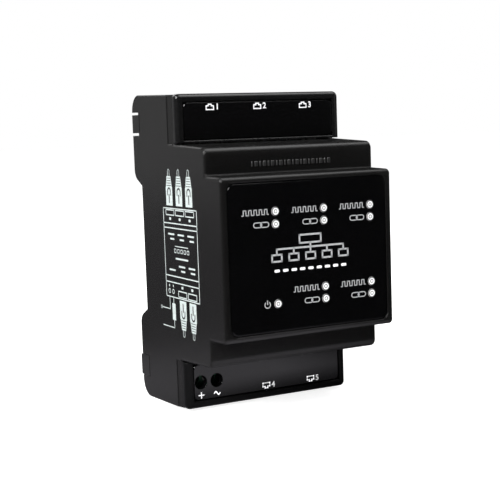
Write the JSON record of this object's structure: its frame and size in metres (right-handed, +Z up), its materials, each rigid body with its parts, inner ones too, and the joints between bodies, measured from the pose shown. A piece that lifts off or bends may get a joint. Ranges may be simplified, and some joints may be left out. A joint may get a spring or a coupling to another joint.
{
  "type": "rail-mounted network switch",
  "caption": "Dark stepped moulded case that clips on a 35 mm rail, with network sockets at top and bottom, a screw terminal for its supply and small indicator lights on a glossy front",
  "frame": {"origin": "middle of the face that seats on the rail", "axes": "+Z up along the case, +X to the viewer's right, -Y out of the rail towards the viewer"},
  "size_m": [0.054, 0.0578, 0.0912],
  "materials": {
    "case_plastic": "fine-grained dark grey moulding",
    "base_plastic": "plain dark moulding",
    "cover_plastic": "black satin moulding",
    "gloss_plate": "gloss black",
    "clear_light": "clear moulded light pipe",
    "spring_steel": "bright spring steel",
    "board_laminate": "green solder mask",
    "led_resin": "white moulded light",
    "zinc_steel": "bright zinc plate",
    "terminal_plastic": "green moulding",
    "contact_metal": "gold-flashed strip",
    "screen_metal": "nickel-plated sheet",
    "jack_plastic": "black moulding",
    "ferrite": "dark sintered ferrite",
    "winding_tape": "yellow tape",
    "capacitor_sleeve": "dark sleeve",
    "fuse_glass": "glass tube with metal caps",
    "varistor_coat": "blue coating",
    "chip_resin": "black moulded resin"
  },
  "bodies": {
    "case": {"main_housing": "case_plastic", "rear_base": "base_plastic", "upper_terminal_cover": "cover_plastic", "lower_terminal_cover": "cover_plastic", "upper_face_plate": "gloss_plate", "lower_face_plate": "gloss_plate", "front_panel": "gloss_plate", "clip_spring": "spring_steel", "led_board": "board_laminate", "main_board": "board_laminate", "riser_board": "board_laminate", "indicator_leds": "led_resin", "board_screws": "zinc_steel", "terminal_block": "terminal_plastic", "terminal_busbar_n": "contact_metal", "terminal_busbar_l": "contact_metal", "transformer_core": "ferrite", "transformer_winding": "winding_tape", "input_capacitor": "capacitor_sleeve", "output_capacitor": "capacitor_sleeve", "mains_fuse": "fuse_glass", "varistor": "varistor_coat", "bridge_rectifier": "chip_resin", "choke": "ferrite", "switch_chip": "chip_resin", "clock_crystal": "screen_metal", "isolating_modules": "chip_resin", "riser_socket_rear": "jack_plastic", "riser_socket_front": "jack_plastic", "light_pipe_1": "clear_light", "light_pipe_2": "clear_light", "light_pipe_3": "clear_light", "light_pipe_4": "clear_light", "light_pipe_5": "clear_light", "light_pipe_6": "clear_light", "light_pipe_7": "clear_light", "light_pipe_8": "clear_light", "light_pipe_9": "clear_light", "light_pipe_10": "clear_light", "light_pipe_11": "clear_light", "jack_shell_1": "screen_metal", "jack_insert_1": "jack_plastic", "jack_contacts_1": "contact_metal", "jack_shell_2": "screen_metal", "jack_insert_2": "jack_plastic", "jack_contacts_2": "contact_metal", "jack_shell_3": "screen_metal", "jack_insert_3": "jack_plastic", "jack_contacts_3": "contact_metal", "jack_shell_4": "screen_metal", "jack_insert_4": "jack_plastic", "jack_contacts_4": "contact_metal", "jack_shell_5": "screen_metal", "jack_insert_5": "jack_plastic", "jack_contacts_5": "contact_metal"},
    "clip": {"rail_clip": "base_plastic"},
    "screw_n": {"terminal_screw_n": "zinc_steel"},
    "screw_l": {"terminal_screw_l": "zinc_steel"},
    "cage_n": {"terminal_cage_n": "zinc_steel"},
    "cage_l": {"terminal_cage_l": "zinc_steel"}
  },
  "joints": [
    {"name": "clip_slide", "type": "slide", "parent": "case", "child": "clip", "axis": [0, 0, -1], "range_m": [0, 0.0032], "stiffness_N_per_m": 1500, "springref_m": -0.002, "deforming": ["clip_spring"]},
    {"name": "screw_n_turn", "type": "hinge", "parent": "case", "child": "screw_n", "pos_m": [-0.0223, -0.0165, -0.0373], "axis": [0, 1, 0], "range_deg": [0, 1440]},
    {"name": "screw_l_turn", "type": "hinge", "parent": "case", "child": "screw_l", "pos_m": [-0.01722, -0.0165, -0.0373], "axis": [0, 1, 0], "range_deg": [0, 1440]},
    {"name": "cage_n_rise", "type": "slide", "parent": "case", "child": "cage_n", "axis": [0, -1, 0], "range_m": [0, 0.002]},
    {"name": "cage_l_rise", "type": "slide", "parent": "case", "child": "cage_l", "axis": [0, -1, 0], "range_m": [0, 0.002]}
  ],
  "couplings": [
    {"joint": "screw_n_turn", "follows": "cage_n_rise", "rad_per_m": 12566},
    {"joint": "screw_l_turn", "follows": "cage_l_rise", "rad_per_m": 12566}
  ]
}
